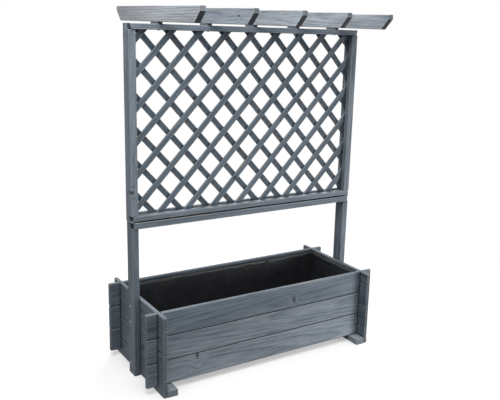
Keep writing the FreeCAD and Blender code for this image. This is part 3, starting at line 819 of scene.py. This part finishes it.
# %% [markdown]
# ## The liner
#
# A wooden box that is kept damp inside is lined, so that it doesn't rot.  The usual liner is a
# sheet of black polyethylene, blown thin and shipped folded.  It is dusty and half glossy, with
# fine creases that catch the light.  Its IOR is 1.51, so near Blender's own 1.5 that it is left.
#
# Modelled creases would need a very fine mesh, so a Voronoi pattern, whose edges are straight
# lines that meet, draws them as bumps.

# %% Black polyethylene film
FILM_BLACK = "#17181a"
FILM_DUSTY = "#303236"
CLEAN_ROUGH = 0.25
DUSTY_ROUGH = 0.55
DUST = 60.0
CREASE = 45.0
CREASE_SHARP = 0.12  # how much of a cell the slope of a crease takes up
CREASE_SHARE = 0.35  # its height, as a share of the film's slow unevenness
FILM_RELIEF = 2.0


def polyethylene_film():
    """Black film with dust in its low spots and creases from its folding."""
    material, tree, shader = new_material("black_blown_polyethylene_film")
    place = add_node(tree, "TexCoord").outputs["Object"]
    dust = add_node(tree, "TexNoise",
                    {"Vector": place, "Scale": 1 / (DUST * MM), "Detail": 6, "Roughness": 0.65})
    crease = add_node(tree, "TexVoronoi",
                      {"Vector": place, "Scale": 1 / (CREASE * MM), "Randomness": 1.0},
                      feature="DISTANCE_TO_EDGE")
    sharp = add_node(tree, "MapRange",
                     {"Value": crease, "From Min": 0, "From Max": CREASE_SHARP,
                      "To Min": 1, "To Max": 0})
    height = add_node(tree, "Math", {0: sharp, 1: CREASE_SHARE, 2: dust.outputs[0]},
                      operation="MULTIPLY_ADD")
    colour = add_node(tree, "Mix",
                      {0: dust, 6: linear(FILM_BLACK), 7: linear(FILM_DUSTY)}, data_type="RGBA")
    rough = add_node(tree, "MapRange",
                     {"Value": dust, "To Min": CLEAN_ROUGH, "To Max": DUSTY_ROUGH})
    bump = add_node(tree, "Bump",
                    {"Height": height, "Strength": 0.5, "Distance": FILM_RELIEF * MM})
    tree.links.new(colour.outputs[2], shader.inputs["Base Color"])
    tree.links.new(rough.outputs[0], shader.inputs["Roughness"])
    tree.links.new(bump.outputs[0], shader.inputs["Normal"])
    return material


film = polyethylene_film()
print("dust patches:", DUST, "mm, creases:", CREASE, "mm")

# %% [markdown]
# The sheet is a plain rectangle.  Pushed into the box, it covers the floor and stands up the four
# walls, and each corner has a square of film too much.  That square is folded flat against the
# long wall like the corner of a wrapped parcel, so from above each corner shows a slanted fold.
#
# A cloth simulation could find this, but slowly, and a parcel fold is easy to say in numbers: at
# a height h above the floor, the film runs on past the corner by h and back again.  So every ring
# of points goes round the box once, with two extra layers at each corner.

# %% The way round the box at one height
OFF_BOARDS = 0.5  # between the film and the boards
liner_low, liner_high = (Vector(corner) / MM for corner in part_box("liner"))
HALF_X = liner_high.x - OFF_BOARDS
HALF_Y = liner_high.y - OFF_BOARDS
WALL_HIGH = liner_high.z - liner_low.z
LEAST_FOLD = 1.0  # a fold of no width would put its points on top of each other
ON_WALL = 60  # points along a long wall, an end wall and a fold
ON_END = 22
ON_FOLD = 10
OUT = [k / ON_FOLD for k in range(ON_FOLD + 1)]
OUT_AND_BACK = [(share, 0) for share in OUT] + [(1 - share, 1) for share in OUT]


def way_round(height):
    """Points round the box at a height: x, y, the wall's inward direction, and the layer."""
    reach = max(height, LEAST_FOLD)
    ring = []
    for side in (1, -1):
        # along a long wall, in X for the front and back again for the rear
        corner = Vector((side * HALF_X, -side * HALF_Y))
        inward = Vector((0, side))
        go = Vector((side, 0))
        ring += [(corner - go * 2 * HALF_X * (1 - k / ON_WALL), inward, 0)
                 for k in range(1, ON_WALL + 1)]
        ring += [(corner - go * reach * share, inward, 1 + back) for share, back in OUT_AND_BACK]
        # up the end wall and round the next corner, with its fold on the next long wall
        turn = Vector((0, side))
        ring += [(corner + turn * 2 * HALF_Y * k / ON_END, Vector((-side, 0)), 0)
                 for k in range(1, ON_END)]
        corner = Vector((side * HALF_X, side * HALF_Y))
        ring += [(corner - go * reach * share, -inward, 2 - back) for share, back in OUT_AND_BACK]
    return ring


print("points round the box:", len(way_round(100)))

# %% [markdown]
# Soft film never lies quite flat.  Noise pushes the walls inward in slow upright waves, most at
# mid height.  The rim is stapled every 120 mm or so, sags a little in between, and has its folds
# pressed together.  At the floor the film can't reach into the corner, and rounds it off.

# %% Fold the walls of the film
WAVE_IN = 6.0  # how far the waves come in
WAVE_WIDE = 120.0
WAVE_TALL = 4  # how many times as tall as wide they are
WAVE_MEAN, WAVE_SWING = 0.5, 0.8
FULL_BELLY = 0.7  # below 1, the waves stay full over more of the height
RIM_SHARE = 0.98  # the last row of points is the rim, which has no waves
STAPLE_APART = 121.5
RIM_SAG = 3.0
LAYER = 1.6  # from one layer of a fold to the next
RIM_PRESS = 0.6  # how much of that the staples press out
OFF_CORNER = 9.0  # how far the film stays off the corner at the floor
CORNER_HIGH = 14.0
FILM_CLEAR = 0.4
FILM_LIFT = 0.6
ROWS = 20


def film_walls():
    """Rings of points from the floor to the rim, and the faces between them."""
    # the high powers keep the sag and the pressed folds close to the rim
    points = []
    for row in range(ROWS + 1):
        height = WALL_HIGH * row / ROWS
        share = height / WALL_HIGH
        belly = 0.0
        if share < RIM_SHARE:
            belly = math.sin(math.pi * min(1.0, share * 1.02)) ** FULL_BELLY
        tight = 1.0 - RIM_PRESS * share ** 8
        rounded = OFF_CORNER * (1 - min(1.0, height / CORNER_HIGH)) ** 2
        for spot, inward, layer in way_round(height):
            along = spot.x if abs(inward.y) > 0.5 else spot.y
            wave = noise.noise(Vector((spot.x, spot.y, height / WAVE_TALL)) / WAVE_WIDE)
            slack = max(0.0, WAVE_IN * (WAVE_MEAN + WAVE_SWING * wave) * belly)
            sag = RIM_SAG * math.sin(math.pi * along / STAPLE_APART) ** 2 * share ** 6
            into = FILM_CLEAR + slack + layer * LAYER * tight + 0.5 * sag + rounded
            place = spot + inward * into
            z = liner_low.z + FILM_LIFT + height - sag
            points.append(Vector((place.x, place.y, z)) * MM)
    count = len(points) // (ROWS + 1)
    faces = []
    for row in range(ROWS):
        for k in range(count):
            a, b = row * count + k, row * count + (k + 1) % count
            faces.append((a, b, b + count, a + count))
    return points, faces


wall_points, wall_faces = film_walls()
print("points on the walls of the film:", len(wall_points))

# %% [markdown]
# The floor of the film lies on four slats.  One face would look as flat as glass, so it is a grid
# with a gentle swell.

# %% Lay the floor of the film
FLOOR_ACROSS, FLOOR_DEEP = 64, 24  # cells of the grid
FLOOR_EDGE = 4.0  # how far it stays inside the walls
FLOOR_RISE, FLOOR_SWELL = 0.9, 0.7
SWELL_WIDE = 70.0
SWELL_LEVEL = 40  # where the noise is cut


def film_floor(first):
    """A grid over the floor, from one end of the box to the other."""
    points, faces = [], []
    for j in range(FLOOR_DEEP + 1):
        for i in range(FLOOR_ACROSS + 1):
            x = (HALF_X - FLOOR_EDGE) * (2 * i / FLOOR_ACROSS - 1)
            y = (HALF_Y - FLOOR_EDGE) * (2 * j / FLOOR_DEEP - 1)
            swell = noise.noise(Vector((x, y, SWELL_LEVEL)) / SWELL_WIDE)
            z = liner_low.z + FLOOR_RISE + FLOOR_SWELL * swell
            points.append(Vector((x, y, z)) * MM)
            if i < FLOOR_ACROSS and j < FLOOR_DEEP:
                a = first + j * (FLOOR_ACROSS + 1) + i
                faces.append((a, a + 1, a + FLOOR_ACROSS + 2, a + FLOOR_ACROSS + 1))
    return points, faces


floor_points, floor_faces = film_floor(len(wall_points))
print("points on the floor of the film:", len(floor_points))

# %% [markdown]
# Walls and floor become one piece, which takes the place of the CAD's plain liner.  The sheet was
# cut to the inside of the box, and the height of the wall once more on each side.

# %% The liner as one sheet
liner = fixed_piece("liner_film", wall_points + floor_points, wall_faces + floor_faces, film)
for face in liner.data.polygons:
    face.use_smooth = True
liner.data.set_sharp_from_angle(angle=math.radians(60))
thick = liner.modifiers.new("Film thickness", "SOLIDIFY")
thick.thickness = 0.2 * MM
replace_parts(liner, "liner")

# %% [markdown]
# The film hangs from staples just under its rim, the same as those of the lattice, because one
# staple gun does both.  They sit where the rim doesn't sag, straight and level.

# %% Staple the rim to the boards
RIM_DOWN = 9  # from the rim to the staples
STAPLE_IN = 1.3  # from the boards to the back of the crown
ALONG_LONG = range(-3, 4)
ALONG_END = (-1, 0, 1)

rim_z = liner_high.z - RIM_DOWN
rim_staples = []
for side in (-1, 1):
    rim_staples += [(Vector((k * STAPLE_APART, side * (HALF_Y - STAPLE_IN), rim_z)) * MM,
                     Vector((0, -side, 0)), 0) for k in ALONG_LONG]
    rim_staples += [(Vector((side * (HALF_X - STAPLE_IN), k * STAPLE_APART, rim_z)) * MM,
                     Vector((-side, 0, 0)), 0) for k in ALONG_END]
plates("liner_staples", crown, STAPLE_THICK, rim_staples)
print("rim staples:", len(rim_staples))

# %% [markdown]
# ## Studio
#
# The floor is pale and matt and keeps the planter's soft shadow.  To the camera, it is mixed with
# plain white, more so away from the planter, the way a paper sweep fades.  To the light that
# bounces it is a darker grey, because a planter stands on a lawn or a terrace, and its undersides
# are dark.  A real paper sweep would need a curved wall, and light of its own.

# %% Floor
FLOOR_PALE = "#f2f2f1"
FLOOR_BOUNCE = "#5c5c5f"
PAPER_ROUGH = 0.95
FADE_FROM = 0.5  # metres from the planter's middle
FADE_TO = 2.2
LEAST_WHITE = 0.4
FLOOR_HALF = 30.0


def seen_rays(tree):
    """1 for what the camera sees, straight or by way of gloss or glass, and 0 for the rest."""
    rays = add_node(tree, "LightPath").outputs
    seen = rays["Is Camera Ray"]
    for kind in ("Is Glossy Ray", "Is Transmission Ray"):
        seen = add_node(tree, "Math", {0: seen, 1: rays[kind]},
                        operation="ADD", use_clamp=True).outputs[0]
    return seen


def paper_floor():
    """Matt paper that fades to white away from the planter."""
    material, tree, shader = new_material("matt_paper_floor")
    seen = seen_rays(tree)
    colour = add_node(tree, "Mix",
                      {0: seen, 6: linear(FLOOR_BOUNCE), 7: linear(FLOOR_PALE)},
                      data_type="RGBA")
    tree.links.new(colour.outputs[2], shader.inputs["Base Color"])
    shader.inputs["Roughness"].default_value = PAPER_ROUGH
    place = add_node(tree, "TexCoord").outputs["Object"]
    away = add_node(tree, "VectorMath", {0: place}, operation="LENGTH")
    fade = add_node(tree, "MapRange",
                    {"Value": away.outputs["Value"], "From Min": FADE_FROM, "From Max": FADE_TO,
                     "To Min": LEAST_WHITE, "To Max": 1.0}, interpolation_type="SMOOTHSTEP")
    share = add_node(tree, "Math", {0: seen, 1: fade}, operation="MULTIPLY")
    white = add_node(tree, "Emission", {"Color": (1, 1, 1, 1), "Strength": 1.0})
    both = add_node(tree, "MixShader", {0: share, 1: shader.outputs[0], 2: white})
    tree.links.new(both.outputs[0], tree.nodes["Material Output"].inputs["Surface"])
    return material


mesh = bpy.data.meshes.new("studio_floor")
mesh.from_pydata([(x * FLOOR_HALF, y * FLOOR_HALF, 0)
                  for x, y in ((-1, -1), (1, -1), (1, 1), (-1, 1))], [], [(0, 1, 2, 3)])
mesh.materials.append(paper_floor())
floor = bpy.data.objects.new("studio_floor", mesh)
scene.collection.objects.link(floor)
print("floor:", 2 * FLOOR_HALF, "m wide")

# %% [markdown]
# The world is a plain overcast sky: brightest overhead and dim at the horizon.  One even grey
# would light undersides as much as tops.  The camera and reflections see plain white instead, so
# that the background is white without more light on the wood.

# %% World
SKY_TOP = 0.8
SKY_HORIZON = 0.14
TOP_FROM = 0.9  # how steeply a ray looks up where the sky is at its brightest

world = bpy.data.worlds.new("overcast_studio")
scene.world = world
world.use_nodes = True
tree = world.node_tree
tree.nodes.clear()
way = add_node(tree, "TexCoord").outputs["Generated"]
up = add_node(tree, "SeparateXYZ", {0: way}).outputs["Z"]
sky = add_node(tree, "MapRange",
               {"Value": up, "From Min": 0.0, "From Max": TOP_FROM,
                "To Min": SKY_HORIZON, "To Max": SKY_TOP})
strength = add_node(tree, "Mix", {0: seen_rays(tree), 2: sky, 3: 1.0}, data_type="FLOAT")
background = add_node(tree, "Background", {"Color": (1, 1, 1, 1), "Strength": strength})
add_node(tree, "OutputWorld", {"Surface": background})
print("sky from", SKY_HORIZON, "at the horizon to", SKY_TOP, "overhead")

# %% [markdown]
# Three soft lamps shape the wood.  One hangs close over the rafters on the left: light falls off
# with distance, so the rafters are bright and the box under them is darker.  The second stands
# low in front on the right, and makes the front boards brighter towards their right ends.  The
# third is a large one behind, so that the back and the right end can be seen as well.  Sun lamps
# would be simpler, but their light is as strong on the feet as on the rafters.

# %% Lamps
LAMPS = (
    # name, place in metres, aimed at, width, power in watts
    ("over_the_rafters", (-0.9, -0.8, 2.4), (0.0, 0.0, 1.3), 1.5, 50),
    ("low_front_right", (1.15, -1.35, 0.3), (0.2, -0.2, 0.15), 0.7, 19),
    ("behind", (1.8, 2.2, 2.6), (0.0, 0.0, 0.7), 1.6, 95),
)
for name, place, target, width, power in LAMPS:
    light = bpy.data.lights.new(name, "AREA")
    light.size = width
    light.energy = power
    lamp = bpy.data.objects.new(name, light)
    lamp.location = place
    lamp.rotation_euler = (Vector(target) - Vector(place)).to_track_quat("-Z", "Y").to_euler()
    lamp.visible_camera = False
    scene.collection.objects.link(lamp)
    print("lamp", name, power, "W")

# %% [markdown]
# The camera stands to the left, a little below the top of the rafters, and looks down at the box.
# Its place, tilt and lens come from matching the planter's corners to the picture, which is surer
# than turning it by eye.

# %% Camera
CAMERA_PLACE = (-1.5211, -2.4924, 1.3956)
CAMERA_AZIMUTH = -34.124  # degrees
CAMERA_PITCH = -13.856
CAMERA_ROLL = 1.992
CAMERA_LENS = 50.878  # mm, on a sensor 36 mm wide
CAMERA_SENSOR = 36.0
CAMERA_SHIFT_X = -0.06

data = bpy.data.cameras.new("camera")
data.lens = CAMERA_LENS
data.sensor_width = CAMERA_SENSOR
data.shift_x = CAMERA_SHIFT_X
camera = bpy.data.objects.new("camera", data)
scene.collection.objects.link(camera)
turn = (Matrix.Rotation(math.radians(CAMERA_AZIMUTH), 4, "Z")
        @ Matrix.Rotation(math.radians(90 + CAMERA_PITCH), 4, "X")
        @ Matrix.Rotation(math.radians(CAMERA_ROLL), 4, "Z"))
camera.matrix_world = Matrix.Translation(CAMERA_PLACE) @ turn
scene.camera = camera
scene.view_settings.view_transform = "Standard"
print("camera at", CAMERA_PLACE)
